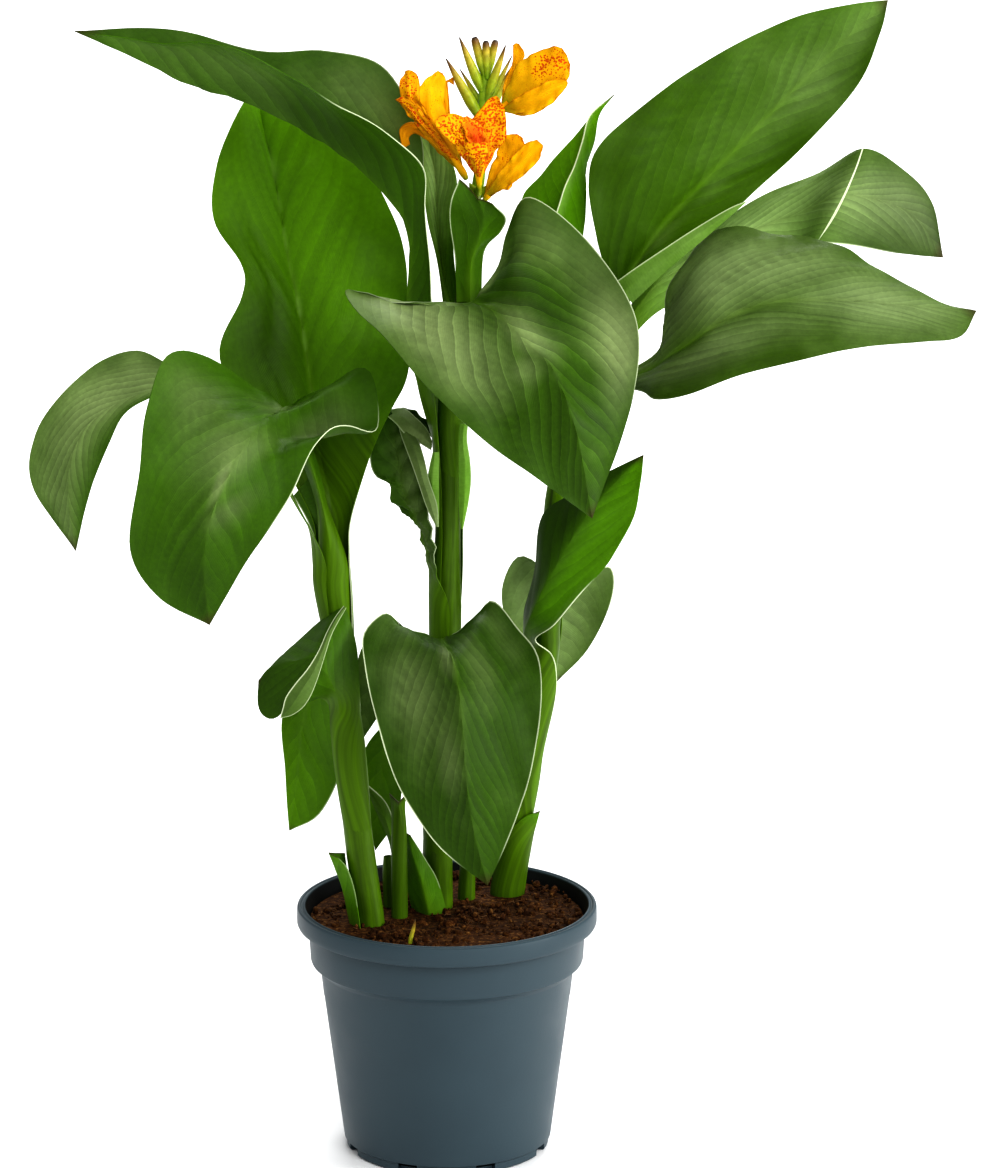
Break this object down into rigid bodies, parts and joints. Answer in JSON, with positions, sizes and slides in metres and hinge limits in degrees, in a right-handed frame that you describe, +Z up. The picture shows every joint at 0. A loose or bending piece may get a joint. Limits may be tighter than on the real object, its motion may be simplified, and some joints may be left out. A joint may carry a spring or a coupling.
{
  "type": "canna lily plant in pot",
  "caption": "Canna lily in a round plastic nursery pot: leafy upright stems with broad arching leaves and speckled yellow-orange flowers on a tall stalk.",
  "frame": {"origin": "middle of the pot's flat underside", "axes": "+Z up the stems, -Y towards the front of the plant, +X to the viewer's right"},
  "size_m": [0.5839, 0.2309, 0.7231],
  "materials": {
    "pot_plastic": "satin blue-grey polypropylene",
    "soil_peat": null,
    "stem_green": null,
    "leaf_green": null,
    "bud_green": null,
    "petal_orange": null
  },
  "bodies": {
    "root": {"pot": "pot_plastic", "soil": "soil_peat", "stem_left": "stem_green", "stem_middle": "stem_green", "stem_right": "stem_green", "stem_shoot": "stem_green", "stem_bud_shoot": "stem_green", "stem_low_shoot": "stem_green", "sprout": "stem_green", "bract_back": "leaf_green", "bract_front": "leaf_green", "flower_front": "petal_orange", "flower_left": "petal_orange", "flower_lower": "petal_orange", "flower_stalk": "bud_green", "flower_upper": "petal_orange", "leaf_back_right": "leaf_green", "leaf_behind_left": "leaf_green", "leaf_behind_right": "leaf_green", "leaf_curled": "leaf_green", "leaf_far_left": "leaf_green", "leaf_far_right": "leaf_green", "leaf_front_left": "leaf_green", "leaf_front_middle": "leaf_green", "leaf_low_behind": "leaf_green", "leaf_low_middle": "leaf_green", "leaf_low_right": "leaf_green", "leaf_mid_behind": "leaf_green", "leaf_rolled": "leaf_green", "leaf_shoot": "leaf_green", "leaf_tall_left": "leaf_green", "leaf_top_left": "leaf_green", "leaf_top_right": "leaf_green", "leaf_wavy": "leaf_green", "sheath_left": "leaf_green", "sheath_middle": "leaf_green", "sheath_right": "leaf_green", "sheath_shoot": "leaf_green"}
  },
  "joints": []
}
